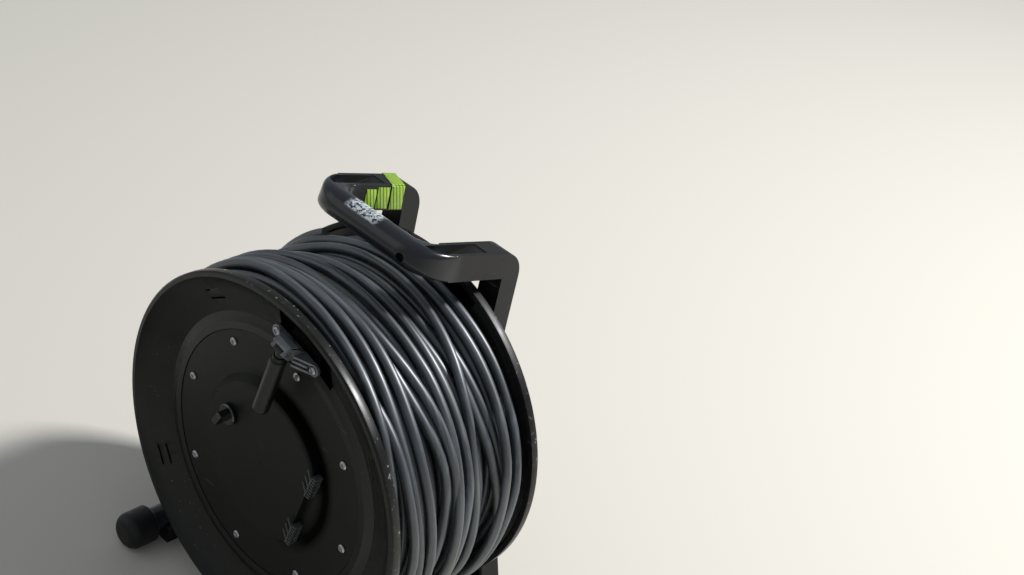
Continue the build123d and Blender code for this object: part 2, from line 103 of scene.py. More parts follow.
def spun(name, section, steps=128, axis=(0, 1, 0)):
    """A closed section of (radius, depth) corners in millimetres, spun into a solid."""
    if axis == (0, 1, 0):
        corners = [mm(r, y, 0) for r, y in section + section[:1]]
    else:
        corners = [mm(r, 0, z) for r, z in section + section[:1]]
    obj = draw(name, corners)
    bpy.ops.mesh.spin(steps=steps, angle=2 * math.pi, center=(0, 0, 0), axis=axis)
    bpy.ops.mesh.select_all(action="SELECT")
    bpy.ops.mesh.remove_doubles(threshold=TOUCHING * MM)
    bpy.ops.mesh.normals_make_consistent(inside=False)
    bpy.ops.object.mode_set(mode="OBJECT")
    return obj


def pushed(name, corners, thickness):
    """A flat outline in millimetres given its thickness along a vector in millimetres."""
    obj = draw(name, [mm(*c) for c in corners])
    bpy.ops.mesh.edge_face_add()
    bpy.ops.mesh.select_all(action="SELECT")
    bpy.ops.mesh.extrude_region_move(TRANSFORM_OT_translate={"value": mm(*thickness)})
    bpy.ops.mesh.select_all(action="SELECT")
    bpy.ops.mesh.normals_make_consistent(inside=False)
    bpy.ops.object.mode_set(mode="OBJECT")
    return obj


# %% [markdown]
# A moulded edge is never sharp, because plastic doesn't flow into a sharp corner. So a finished
# form gets a small bevel on every edge that turns by more than thirty-five degrees, and smooth
# shading between them. A hole is cut with the shape of the tool that would make it.

# %% Round, cut and join
ROUNDED_FROM, SMOOTH_TO = 35, 40


def only(obj):
    """Makes this the one selected and active object."""
    bpy.ops.object.select_all(action="DESELECT")
    obj.select_set(True)
    bpy.context.view_layer.objects.active = obj


def rounded(obj, width):
    """Rounds the sharp edges and smooths the rest."""
    only(obj)
    bevel = obj.modifiers.new("round", "BEVEL")
    bevel.width = width * MM
    bevel.segments = 2
    bevel.limit_method = "ANGLE"
    bevel.angle_limit = math.radians(ROUNDED_FROM)
    bpy.ops.object.modifier_apply(modifier="round")
    bpy.ops.object.shade_smooth_by_angle(angle=math.radians(SMOOTH_TO))
    return obj


def cut(obj, tool):
    """Takes the tool's shape out of the object and removes the tool."""
    only(obj)
    boolean = obj.modifiers.new("cut", "BOOLEAN")
    boolean.operation = "DIFFERENCE"
    boolean.solver = "EXACT"
    boolean.object = tool
    bpy.ops.object.modifier_apply(modifier="cut")
    bpy.data.objects.remove(tool)
    return obj


def one_piece(name, parts):
    """Joins parts that are one moulding."""
    bpy.ops.object.select_all(action="DESELECT")
    for part in parts:
        part.select_set(True)
    bpy.context.view_layer.objects.active = parts[0]
    bpy.ops.object.join()
    parts[0].name = parts[0].data.name = name
    return parts[0]


# %% [markdown]
# A finished piece is put in its place on the body that it moves with. Its place goes into its mesh,
# and the object itself stays at the origin, so that a pattern on Object coordinates doesn't slide.
# Where it stands in for a plain solid, that solid is named.

# %% Settle a piece
def settle(obj, matrix, body, slot, *nodes):
    """Puts a finished piece in its place on a body; the slot argument is not used."""
    obj.data.transform(matrix)
    obj.matrix_world = Matrix.Identity(4)
    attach(obj, body)
    if nodes:
        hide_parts(*nodes)
    print(obj.name, len(obj.data.polygons), "faces")
    return obj


# %% [markdown]
# ## Camera
# The photograph looks down on the drum from the front right, and was taken at a tilt. The camera
# was worked out from the round rims: it stands almost two metres away, with a lens near 54 mm on a
# sensor 36 mm wide. It could be turned with three angles, but their order is easy to get wrong, so
# its three directions are built from the heading, the drop and the tilt.

# %% Camera at the photograph's place
SENSOR_WIDTH = 36
PICTURE_WIDTH, FOCAL_PIXELS = 1024, 1525.07
CAMERA_RIGHT, CAMERA_DEPTH, CAMERA_ABOVE = 1009.52, -972.41, 1198.18

heading, drop, tilt = math.radians(35.8077), math.radians(32.2427), math.radians(13.6135)
look = Vector((-math.sin(heading) * math.cos(drop), math.cos(heading) * math.cos(drop),
               -math.sin(drop)))
level_right = look.cross(Vector((0, 0, 1))).normalized()
level_up = level_right.cross(look)
right = math.cos(tilt) * level_right + math.sin(tilt) * level_up
up = -math.sin(tilt) * level_right + math.cos(tilt) * level_up
camera_data = bpy.data.cameras.new("camera")
camera_data.sensor_width = SENSOR_WIDTH
camera_data.lens = FOCAL_PIXELS / PICTURE_WIDTH * SENSOR_WIDTH
camera = bpy.data.objects.new("camera", camera_data)
bpy.context.scene.collection.objects.link(camera)
turn = Matrix((right, up, -look)).transposed().to_4x4()
camera.matrix_world = Matrix.Translation(
    mm(CAMERA_RIGHT, CAMERA_DEPTH - MIDDLE, CAMERA_ABOVE + AXLE_HEIGHT)) @ turn
bpy.context.scene.camera = camera
print("camera at", tuple(round(v, 3) for v in camera.location), "lens", round(camera_data.lens, 1))


# %% [markdown]
# ## Finishes
# Everything here is black, so the finishes differ by how they reflect: the moulded plastic of the
# drum is satin and a little olive, the grip is polished by use, the cable's rubber is dusty and has
# soft long streaks, and metal shows only on small screws. Each pattern is laid on Object
# coordinates, so it stays on the piece when the drum turns. Every material is a small tree of
# nodes, and one helper adds a node with all its values and links at once.

# %% A node with its values and links
def add(tree, kind, inputs=None, **settings):
    """Adds a node, sets it up and feeds its inputs with values or with other nodes' outputs."""
    made = tree.nodes.new(kind)
    for key, value in settings.items():
        setattr(made, key, value)
    for socket, value in (inputs or {}).items():
        if isinstance(value, bpy.types.NodeSocket):
            tree.links.new(value, made.inputs[socket])
        else:
            made.inputs[socket].default_value = value
    return made


# %% [markdown]
# Colours are written as the hex values that a painting program shows, and turned into the linear
# ones that light is worked out with. A pattern's scale is how often it repeats in a metre, so it is
# worked out from the size in millimetres of one of its spots. A Mix node has sockets for numbers
# and for colours under the same names, so they are told apart by their places.

# %% Colours, scales and a new finish
COLOUR_A, COLOUR_B, MIXED = 6, 7, 2
NUMBER_A, NUMBER_B = 2, 3


def linear(text):
    """An sRGB hex colour as the linear colour that nodes expect."""
    parts = [int(text[i:i + 2], 16) / 255 for i in (1, 3, 5)]
    return tuple(p / 12.92 if p <= 0.04045 else ((p + 0.055) / 1.055) ** 2.4 for p in parts) + (1,)


def per_metre(size):
    """How many cells of a pattern fit in a metre, from the size of one in millimetres."""
    return 1 / (size * MM)


def new_finish(name):
    """An empty material with its shader, returned with its tree."""
    material = bpy.data.materials.new(name)
    material.use_nodes = True
    tree = material.node_tree
    tree.nodes.clear()
    shader = add(tree, "ShaderNodeBsdfPrincipled")
    add(tree, "ShaderNodeOutputMaterial", {"Surface": shader.outputs["BSDF"]})
    print("finish:", name)
    return material, tree, shader


def give(obj, material):
    """Makes this the piece's only material."""
    obj.data.materials.clear()
    obj.data.materials.append(material)


# %% [markdown]
# ### Moulded polypropylene
# A drum like this is injection moulded in black polypropylene. The mould is spark eroded, which
# leaves a grain of about half a millimetre and gives the eye a soft satin light instead of a
# mirror. Over it lie dull patches of dust and short pale scratches from stony ground. All of this
# could be painted on, but three noises do it at any distance: a large one for the dust, a fine one
# for the grain, and one that is stretched a lot for the scratches, which are drawn a little wider
# than real ones so that they show.

# %% Moulded plastic
DUST_PATCH, GRAIN = 70, 0.6
SCRATCH_LENGTH, SCRATCH_WIDTH, SCRATCH_GAP = 33, 1.1, 2.4
SCRATCH_LEAN = (0.5, 0.9, 0.3)
SCRATCH_COLOUR = "#8b8d8a"
PLASTIC_IOR = 1.49


def moulded_plastic(name, colour, dust, roughness, dust_share=0.4, scratch_share=0.5,
                    specular=0.35):
    """Black moulded plastic with dust, grain and scratches."""
    material, tree, shader = new_finish(name)
    place = add(tree, "ShaderNodeTexCoord").outputs["Object"]
    patches = add(tree, "ShaderNodeTexNoise",
                  {"Vector": place, "Scale": per_metre(DUST_PATCH), "Detail": 5, "Roughness": 0.65})
    dusty = add(tree, "ShaderNodeMapRange", {
        "Value": patches.outputs["Fac"], "From Min": 0.42, "From Max": 0.75,
        "To Min": 0, "To Max": dust_share})
    lean = add(tree, "ShaderNodeMapping", {
        "Vector": place, "Rotation": SCRATCH_LEAN,
        "Scale": (per_metre(SCRATCH_LENGTH), per_metre(SCRATCH_WIDTH), per_metre(SCRATCH_GAP))})
    lines = add(tree, "ShaderNodeTexNoise",
                {"Vector": lean.outputs["Vector"], "Scale": 1, "Detail": 1})
    scratch = add(tree, "ShaderNodeMapRange", {
        "Value": lines.outputs["Fac"], "From Min": 0.72, "From Max": 0.78,
        "To Min": 0, "To Max": scratch_share})
    sparse = add(tree, "ShaderNodeMapRange", {
        "Value": patches.outputs["Fac"], "From Min": 0.5, "From Max": 0.62})
    scratch = add(tree, "ShaderNodeMath", {0: scratch.outputs[0], 1: sparse.outputs[0]},
                  operation="MULTIPLY")
    base = add(tree, "ShaderNodeMix", {
        "Factor": dusty.outputs[0], COLOUR_A: linear(colour), COLOUR_B: linear(dust)},
        data_type="RGBA")
    worn = add(tree, "ShaderNodeMix", {
        "Factor": scratch.outputs[0], COLOUR_A: base.outputs[MIXED],
        COLOUR_B: linear(SCRATCH_COLOUR)}, data_type="RGBA")
    tree.links.new(worn.outputs[MIXED], shader.inputs["Base Color"])
    rough = add(tree, "ShaderNodeMapRange", {
        "Value": patches.outputs["Fac"], "From Min": 0.3, "From Max": 0.7,
        "To Min": roughness - 0.06, "To Max": roughness + 0.1})
    tree.links.new(rough.outputs[0], shader.inputs["Roughness"])
    grain = add(tree, "ShaderNodeTexNoise",
                {"Vector": place, "Scale": per_metre(GRAIN), "Detail": 2})
    bump = add(tree, "ShaderNodeBump", {
        "Height": grain.outputs["Fac"], "Distance": 0.05 * MM, "Strength": 0.5})
    tree.links.new(bump.outputs["Normal"], shader.inputs["Normal"])
    shader.inputs["IOR"].default_value = PLASTIC_IOR
    shader.inputs["Specular IOR Level"].default_value = specular
    return material


# %% [markdown]
# The small mouldings differ only in plastic and in wear. Nylon clips and the nylon bracket are
# greyer and shine more, PVC tube is blue-grey and dusty, the rubber foot caps are dark and dull,
# and the knob of ABS is the glossiest.

# %% Finishes of the small mouldings
clip_plastic = moulded_plastic("nylon_clip", "#434645", "#5f6261", 0.35, specular=0.5)
grip_plastic = moulded_plastic("abs_crank_grip", "#0d0e0b", "#181916", 0.36)
bracket_plastic = moulded_plastic("nylon_bracket", "#1e2125", "#8b9092", 0.25, dust_share=0.8,
                                  specular=0.8)
tube_plastic = moulded_plastic("pvc_foot_tube", "#23282d", "#4e565c", 0.3, dust_share=0.8)
cap_rubber = moulded_plastic("rubber_cap", "#101010", "#222221", 0.5)
knob_plastic = moulded_plastic("abs_knob", "#0b0c0b", "#141514", 0.12, specular=1)

# %% [markdown]
# ### Places for wear and painted shade
# Wear sits where the object is touched and painted shade where it is sheltered from the light, so a
# finish has to know where it is on the drum. A map could be painted for each piece, but here the
# place is simply worked out from Object coordinates: how far from the axle, and inside which range
# of a coordinate.

# %% Place about the axle and inside a range
def about_axle(tree):
    """The place in the plane of the face, counted from the axle."""
    place = add(tree, "ShaderNodeTexCoord").outputs["Object"]
    return add(tree, "ShaderNodeMapping", {
        "Vector": place, "Location": (0, 0, -AXLE_HEIGHT * MM),
        "Scale": (1, 0, 1)}).outputs["Vector"]


def span(tree, value, low, high, soft):
    """One inside a range of a coordinate and nought outside, in millimetres."""
    rise = add(tree, "ShaderNodeMapRange", {
        "Value": value, "From Min": (low - soft) * MM, "From Max": (low + soft) * MM})
    fall = add(tree, "ShaderNodeMapRange", {
        "Value": value, "From Min": (high + soft) * MM, "From Max": (high - soft) * MM})
    return add(tree, "ShaderNodeMath", {0: rise.outputs[0], 1: fall.outputs[0]},
               operation="MULTIPLY").outputs[0]


# %% [markdown]
# ### Flanges
# The flanges are moulded like the rest. A flange is dragged and rolled on its rim, so its outermost
# few millimetres are scuffed to a pale grey. The pocket behind the crank is deep and lies in shade,
# so it gets painted shade: a near black colour and hardly any shine. Scuffs are laid by the distance
# from the axle, and the painted shade by the box that the pocket fills when the drum is turned
# upright.

# %% Flange finish
SCUFF = 6.7
POCKET_LEFT, POCKET_RIGHT, POCKET_LOW, POCKET_HIGH = -44, 48, 180, 230
FLANGE_SHINE = 0.32


def flange_finish(name):
    """Moulded plastic with a scuffed rim and painted shade in the crank's pocket."""
    material = moulded_plastic(name, "#0d0e0b", "#1b1c18", 0.32, specular=FLANGE_SHINE)
    tree = material.node_tree
    shader = tree.nodes["Principled BSDF"]
    flat = about_axle(tree)
    reach = add(tree, "ShaderNodeVectorMath", {0: flat}, operation="LENGTH").outputs["Value"]
    rim = add(tree, "ShaderNodeMapRange", {
        "Value": reach, "From Min": (FLANGE_RADIUS - 4) * MM, "From Max": (FLANGE_RADIUS - 1) * MM})
    place = add(tree, "ShaderNodeTexCoord").outputs["Object"]
    nicks = add(tree, "ShaderNodeTexNoise",
                {"Vector": place, "Scale": per_metre(SCUFF), "Detail": 6, "Roughness": 0.7})
    bare = add(tree, "ShaderNodeMapRange", {
        "Value": nicks.outputs["Fac"], "From Min": 0.61, "From Max": 0.7})
    scuff = add(tree, "ShaderNodeMath", {0: rim.outputs[0], 1: bare.outputs[0]},
                operation="MULTIPLY")
    before = shader.inputs["Base Color"].links[0].from_socket
    scuffed = add(tree, "ShaderNodeMix", {
        "Factor": scuff.outputs[0], COLOUR_A: before, COLOUR_B: linear("#7f817c")},
        data_type="RGBA")
    upright = add(tree, "ShaderNodeMapping", {
        "Vector": flat, "Rotation": (0, -math.radians(DRUM_TURN), 0)})
    axes = add(tree, "ShaderNodeSeparateXYZ", {"Vector": upright.outputs["Vector"]})
    across = span(tree, axes.outputs["X"], POCKET_LEFT, POCKET_RIGHT, 1)
    inside = span(tree, reach, POCKET_LOW, POCKET_HIGH, 1)
    above = add(tree, "ShaderNodeMath", {0: axes.outputs["Z"], 1: 0.0}, operation="GREATER_THAN")
    painted_shade = add(tree, "ShaderNodeMath", {0: across, 1: inside}, operation="MULTIPLY")
    pocket = add(tree, "ShaderNodeMath", {0: painted_shade.outputs[0], 1: above.outputs[0]},
                 operation="MULTIPLY")
    # Painted shade: the crank's pocket is painted near black and its shine is taken down.
    final = add(tree, "ShaderNodeMix", {
        "Factor": pocket.outputs[0], COLOUR_A: scuffed.outputs[MIXED], COLOUR_B: linear("#030303")},
        data_type="RGBA")
    tree.links.new(final.outputs[MIXED], shader.inputs["Base Color"])
    dull = add(tree, "ShaderNodeMapRange", {
        "Value": pocket.outputs[0], "To Min": FLANGE_SHINE, "To Max": 0.04})
    tree.links.new(dull.outputs[0], shader.inputs["Specular IOR Level"])
    return material


flange_plastic = flange_finish("polypropylene_flange")

# %% [markdown]
# ### Cover
# The cover is a flat moulding with a raised round dish, and is cleaner than the flange. At the foot
# of the dish, on the side where shade falls, the corner gets painted shade: a near black colour and
# hardly any shine, in a ring that fades towards the other side.

# %% Cover finish
DISH_FOOT, DISH_TOP = 110, 101
SHADED_SIDE = (0.9, 0, 0.44)
COVER_SHINE = 0.24


def cover_finish(name):
    """Moulded plastic with painted shade at the foot of the dish."""
    material = moulded_plastic(name, "#10110d", "#1a1b17", 0.42, scratch_share=0.2,
                               specular=COVER_SHINE)
    tree = material.node_tree
    shader = tree.nodes["Principled BSDF"]
    flat = about_axle(tree)
    reach = add(tree, "ShaderNodeVectorMath", {0: flat}, operation="LENGTH").outputs["Value"]
    inner = add(tree, "ShaderNodeMapRange", {
        "Value": reach, "From Min": (DISH_TOP - 10) * MM, "From Max": (DISH_TOP + 2) * MM})
    outer = add(tree, "ShaderNodeMapRange", {
        "Value": reach, "From Min": (DISH_FOOT + 12) * MM, "From Max": DISH_FOOT * MM})
    lee = add(tree, "ShaderNodeVectorMath", {0: flat, 1: SHADED_SIDE},
              operation="DOT_PRODUCT")
    on_shaded_side = add(tree, "ShaderNodeMapRange", {
        "Value": lee.outputs["Value"], "From Min": -10 * MM, "From Max": 50 * MM})
    ring = add(tree, "ShaderNodeMath", {0: inner.outputs[0], 1: outer.outputs[0]},
               operation="MULTIPLY")
    painted_shade = add(tree, "ShaderNodeMath", {0: ring.outputs[0], 1: on_shaded_side.outputs[0]},
               operation="MULTIPLY")
    before = shader.inputs["Base Color"].links[0].from_socket
    # Painted shade: the foot of the dish, on its shaded side, is painted near black with little
    # shine.
    final = add(tree, "ShaderNodeMix", {
        "Factor": painted_shade.outputs[0], COLOUR_A: before, COLOUR_B: linear("#020202")},
        data_type="RGBA")
    tree.links.new(final.outputs[MIXED], shader.inputs["Base Color"])
    dull = add(tree, "ShaderNodeMapRange", {
        "Value": painted_shade.outputs[0], "To Min": COVER_SHINE, "To Max": 0.02})
    tree.links.new(dull.outputs[0], shader.inputs["Specular IOR Level"])
    return material


cover_plastic = cover_finish("polypropylene_cover")

# %% [markdown]
# ### The frame's plastic
# The frame is the same black polypropylene, greyed by sun and dust on its flat sides. The round
# grip in front of the arms is polished by use, so it is darker there and mirrors the light, and a
# torn sticker has left white paper on its top. All three are one material, because the frame is one
# moulding: the polish is placed by depth and height, the paper by its length along the grip and by
# its height.

# %% Greyed frame with a polished grip
GRIP_HEIGHT, GRIP_DEPTH = 558.8, 40
POLISH_LOW, POLISH_HIGH = 520, 600
PAPER_LEFT, PAPER_RIGHT, PAPER_EDGE, PAPER_SPOT = -36, 12, 13.2, 4
FRAME_SHINE, GRIP_SHINE = 0.27, 0.6


def frame_finish(name):
    """Moulded plastic with a polished grip and the rest of a sticker."""
    material = moulded_plastic(name, "#0e0f0f", "#1b1c1b", 0.42, specular=FRAME_SHINE)
    tree = material.node_tree
    shader = tree.nodes["Principled BSDF"]
    place = add(tree, "ShaderNodeTexCoord").outputs["Object"]
    axes = add(tree, "ShaderNodeSeparateXYZ", {"Vector": place})
    in_front = span(tree, axes.outputs["Y"], -GRIP_DEPTH, GRIP_DEPTH, 14)
    high_up = span(tree, axes.outputs["Z"], POLISH_LOW, POLISH_HIGH, 8)
    polish = add(tree, "ShaderNodeMath", {0: in_front, 1: high_up}, operation="MULTIPLY")
    greyed = shader.inputs["Base Color"].links[0].from_socket
    dark = add(tree, "ShaderNodeMix", {
        "Factor": polish.outputs[0], COLOUR_A: greyed, COLOUR_B: linear("#101319")},
        data_type="RGBA")
    along = span(tree, axes.outputs["X"], PAPER_LEFT, PAPER_RIGHT, 4)
    on_top = span(tree, axes.outputs["Z"], GRIP_HEIGHT + PAPER_EDGE, GRIP_HEIGHT + 20, 0.8)
    patch = add(tree, "ShaderNodeMath", {0: along, 1: on_top}, operation="MULTIPLY")
    torn = add(tree, "ShaderNodeTexNoise",
               {"Vector": place, "Scale": per_metre(PAPER_SPOT), "Detail": 6, "Roughness": 0.75})
    left = add(tree, "ShaderNodeMapRange", {
        "Value": torn.outputs["Fac"], "From Min": 0.46, "From Max": 0.51})
    paper = add(tree, "ShaderNodeMath", {0: patch.outputs[0], 1: left.outputs[0]},
                operation="MULTIPLY")
    final = add(tree, "ShaderNodeMix", {
        "Factor": paper.outputs[0], COLOUR_A: dark.outputs[MIXED], COLOUR_B: linear("#aeb6ba")},
        data_type="RGBA")
    tree.links.new(final.outputs[MIXED], shader.inputs["Base Color"])
    dull = shader.inputs["Roughness"].links[0].from_socket
    smooth = add(tree, "ShaderNodeMix", {0: polish.outputs[0], NUMBER_A: dull, NUMBER_B: 0.24})
    matt = add(tree, "ShaderNodeMix", {
        0: paper.outputs[0], NUMBER_A: smooth.outputs[0], NUMBER_B: 0.8})
    tree.links.new(matt.outputs[0], shader.inputs["Roughness"])
    gloss = add(tree, "ShaderNodeMapRange", {
        "Value": polish.outputs[0], "To Min": FRAME_SHINE, "To Max": GRIP_SHINE})
    tree.links.new(gloss.outputs[0], shader.inputs["Specular IOR Level"])
    return material


frame_plastic = frame_finish("polypropylene_frame")

# %% [markdown]
# ### Striped marking tape
# The marking tape is glossy polypropylene film, printed in yellow-green with thin dark green lines.
# It is smooth, so it gives a clear light. The lines run up the arm and repeat along its depth: the
# depth coordinate is folded like a fan with Ping-Pong, and each fold becomes a line. They lean a
# little, because the tape was stuck on at a slant.

# %% Marking tape
LINE_SPACING, LINE_LEAN = 5.4, 0.22
INK_CLOUD = 8


def striped_tape(name):
    """Yellow-green film with dark green lines."""
    material, tree, shader = new_finish(name)
    place = add(tree, "ShaderNodeTexCoord").outputs["Object"]
    axes = add(tree, "ShaderNodeSeparateXYZ", {"Vector": place})
    leaning = add(tree, "ShaderNodeMath", {
        0: axes.outputs["Z"], 1: LINE_LEAN, 2: axes.outputs["Y"]}, operation="MULTIPLY_ADD")
    fold = add(tree, "ShaderNodeMath", {0: leaning.outputs[0], 1: LINE_SPACING / 2 * MM},
               operation="PINGPONG")
    line = add(tree, "ShaderNodeMapRange", {
        "Value": fold.outputs[0], "From Min": 0.65 * MM, "From Max": 1.05 * MM})
    cloud = add(tree, "ShaderNodeTexNoise",
                {"Vector": place, "Scale": per_metre(INK_CLOUD), "Detail": 3})
    film = add(tree, "ShaderNodeMix", {
        "Factor": cloud.outputs["Fac"], COLOUR_A: linear("#739817"),
        COLOUR_B: linear("#a4c530")}, data_type="RGBA")
    shade = add(tree, "ShaderNodeMix", {
        "Factor": line.outputs[0], COLOUR_A: linear("#2f5a16"), COLOUR_B: film.outputs[MIXED]},
        data_type="RGBA")
    tree.links.new(shade.outputs[MIXED], shader.inputs["Base Color"])
    shader.inputs["Roughness"].default_value = 0.3
    return material


marking_tape = striped_tape("printed_tape")

# %% [markdown]
# ### Zinc-plated steel
# The screws, the axle and its nut are steel, zinc plated in a bath. That gives the eye a pale metal
# with a faint blue cast and a shine that is cloudy over about a millimetre, so one noise moves both
# the colour and the roughness.

# %% Screws and axle
ZINC_CLOUD = 1.1


def plated_steel(name, colour, roughness):
    """Zinc-plated steel with slightly uneven shine."""
    material, tree, shader = new_finish(name)
    place = add(tree, "ShaderNodeTexCoord").outputs["Object"]
    cloud = add(tree, "ShaderNodeTexNoise",
                {"Vector": place, "Scale": per_metre(ZINC_CLOUD), "Detail": 3})
    rough = add(tree, "ShaderNodeMapRange", {
        "Value": cloud.outputs["Fac"], "To Min": roughness - 0.1, "To Max": roughness + 0.15})
    tree.links.new(rough.outputs[0], shader.inputs["Roughness"])
    shade = add(tree, "ShaderNodeMix", {
        "Factor": cloud.outputs["Fac"], COLOUR_A: linear(colour),
        COLOUR_B: linear("#9da1a4")}, data_type="RGBA")
    tree.links.new(shade.outputs[MIXED], shader.inputs["Base Color"])
    shader.inputs["Metallic"].default_value = 1
    return material


screw_steel = plated_steel("zinc_plated_screw", "#b4b7b8", 0.3)
axle_steel = plated_steel("bright_steel_axle", "#a9abad", 0.35)

# %% [markdown]
# ### Rubber cable sheath
# The sheath of a heavy rubber cable is extruded, so its marks run along it: long soft streaks where
# it has rubbed, and dust that settles in bands. New rubber gives the eye a deep black with a soft
# light, and a thin second coat of shine stands for its waxy bloom, which catches the light at a
# slant. The streaks need a coordinate along the cable. A map laid along the curve would do, but the
# angle round the axle, worked out from Object coordinates, gives nearly the same and needs no map.

# %% Cable sheath
MIDDLE_TURN = 210
STREAK_LENGTH, STREAK_WIDTH = 94, 2.75
DUST_BAND = 110
RUBBER_IOR = 1.52


def rubber_sheath(name):
    """Black rubber with dust streaks along the cable."""
    material, tree, shader = new_finish(name)
    place = add(tree, "ShaderNodeTexCoord").outputs["Object"]
    centred = add(tree, "ShaderNodeMapping",
                  {"Vector": place, "Location": (0, 0, -AXLE_HEIGHT * MM)})
    axes = add(tree, "ShaderNodeSeparateXYZ", {"Vector": centred.outputs["Vector"]})
    angle = add(tree, "ShaderNodeMath", {0: axes.outputs["Z"], 1: axes.outputs["X"]},
                operation="ARCTAN2")
    flat = add(tree, "ShaderNodeCombineXYZ", {"X": axes.outputs["X"], "Z": axes.outputs["Z"]})
    radius = add(tree, "ShaderNodeVectorMath", {0: flat.outputs["Vector"]}, operation="LENGTH")
    along = add(tree, "ShaderNodeCombineXYZ", {
        "X": angle.outputs["Value"], "Y": axes.outputs["Y"], "Z": radius.outputs["Value"]})
    stretched = add(tree, "ShaderNodeMapping", {
        "Vector": along.outputs["Vector"],
        "Scale": (MIDDLE_TURN / STREAK_LENGTH, per_metre(STREAK_WIDTH), per_metre(STREAK_WIDTH))})
    streaks = add(tree, "ShaderNodeTexNoise",
                  {"Vector": stretched.outputs["Vector"], "Scale": 1, "Detail": 4})
    patches = add(tree, "ShaderNodeTexNoise",
                  {"Vector": place, "Scale": per_metre(DUST_BAND), "Detail": 4})
    both = add(tree, "ShaderNodeMath", {0: streaks.outputs["Fac"], 1: patches.outputs["Fac"]},
               operation="MULTIPLY")
    dusty = add(tree, "ShaderNodeMapRange", {
        "Value": both.outputs["Value"], "From Min": 0.18, "From Max": 0.38, "To Max": 0.9})
    stain = add(tree, "ShaderNodeTexNoise",
                {"Vector": stretched.outputs["Vector"], "Scale": 0.25, "Detail": 2})
    olive = add(tree, "ShaderNodeMapRange", {
        "Value": stain.outputs["Fac"], "From Min": 0.58, "From Max": 0.7})
    dust = add(tree, "ShaderNodeMix", {
        "Factor": olive.outputs[0], COLOUR_A: linear("#555a5c"), COLOUR_B: linear("#565b48")},
        data_type="RGBA")
    shade = add(tree, "ShaderNodeMix", {
        "Factor": dusty.outputs[0], COLOUR_A: linear("#1c1e20"), COLOUR_B: dust.outputs[MIXED]},
        data_type="RGBA")
    tree.links.new(shade.outputs[MIXED], shader.inputs["Base Color"])
    rough = add(tree, "ShaderNodeMapRange", {
        "Value": streaks.outputs["Fac"], "From Min": 0.3, "From Max": 0.7,
        "To Min": 0.42, "To Max": 0.54})
    tree.links.new(rough.outputs[0], shader.inputs["Roughness"])
    bump = add(tree, "ShaderNodeBump", {
        "Height": streaks.outputs["Fac"], "Distance": 0.15 * MM, "Strength": 0.4})
    tree.links.new(bump.outputs["Normal"], shader.inputs["Normal"])
    shader.inputs["IOR"].default_value = RUBBER_IOR
    shader.inputs["Specular IOR Level"].default_value = 1
    shader.inputs["Coat Weight"].default_value = 0.5
    shader.inputs["Coat Roughness"].default_value = 0.36
    shader.inputs["Coat Tint"].default_value = linear("#dfe9f5")
    return material


cable_rubber = rubber_sheath("rubber_cable_sheath")

# %% [markdown]
# ## The wound cable
# Twelve millimetre cable lies on the barrel in layers. Wound cable never lies evenly: turns drift,
# cross at a shallow angle and leave long dark gaps. Rings side by side would look like a screw
# thread, so the path of each turn is wanted instead. Three plain layers close the view to the
# barrel. The turns over them were read off the photograph one by one, as depths behind the front
# rim at ten angles on the side that faces the camera.

# %% Where the turns lie along the drum
STEPS = 96
UNDER = [(34, 208, 14), (213, 29, 13), (24, 110, 6)]
RETURN = 0.35
DEPTH_SOFTENING = 5
FACING = [120, 105, 90, 75, 60, 45, 30, 15, 0, -15]
TURNS = [
    [215, 216, 216, 214, 213, 218, 221, 220, 223, 227],
    [191, 197, 197, 193, 193, 197, 201, 204, 209, 215],
    [174, 174, 174, 173, 176, 181, 190, 195, 199, 205],
    [161, 161, 160, 158, 164, 168, 175, 182, 188, 195],
    [146, 146, 145, 143, 147, 155, 159, 163, 168, 171],
    [129, 130, 132, 130, 133, 135, 139, 142, 153, 161],
    [97, 98, 96, 97, 103, 105, 116, 128, 137, 145],
    [84, 86, 84, 82, 82, 93, 103, 115, 125, 133],
    [71, 72, 72, 72, 73, 78, 93, 102, 95, 85],
    [61, 61, 60, 57, 61, 58, 57, 60, 70, 74],
    [53, 55, 56, 54, 52, 46, 46, 48, 58, 65],
    [36, 39, 37, 34, 31, 36, 34, 37, 44, 51],
    [52, 46, 39, 36, 31, 22, 20, 21, 26, 32],
    [74, 76, 75, 74, 81, 97, 106, 109, 117, 124],
    [56, 60, 65, 69, 68, 61, 59, 63, 71, 76],
    [88, 94, 103, 107, 108, 112, 112, 110, 111, 114],
    [124, 126, 131, 131, 131, 134, 135, 125, 119, 114],
    [170, 173, 176, 175, 168, 156, 151, 149, 152, 158],
    [187, 192, 192, 192, 196, 200, 198, 189, 186, 184],
    [221, 218, 215, 213, 216, 222, 221, 212, 200, 194],
]


def smoothed(values, reach):
    """Running mean with soft shoulders."""
    window = np.hanning(2 * reach + 3)[1:-1]
    return np.convolve(np.pad(values, reach, mode="edge"), window / window.sum(), mode="valid")


turned, lies = [], []
turns = 0
for first, last, count in UNDER:
    turned += [turns, turns + count - RETURN]
    lies += [first, last]
    turns += count
for row in TURNS:
    turned += [turns + (FACING[0] - facing) / 360 for facing in FACING]
    lies += row
    turns += 1
total = turns * STEPS
wanted = smoothed(np.interp(np.arange(total) / STEPS, turned, lies), DEPTH_SOFTENING)
print("cable turns:", turns)

# %% [markdown]
# How high each turn lies isn't drawn, but found. Where a turn passes over one that was wound
# before it, the two may touch and no more, which lifts the later one by an amount that follows from
# how far apart they are along the drum. A taut cable can't drop into every gap behind such a
# crossing, so it comes down slowly. The flanges push the outermost turns inwards. Each of these
# changes the others, so all are worked out in a few sweeps.

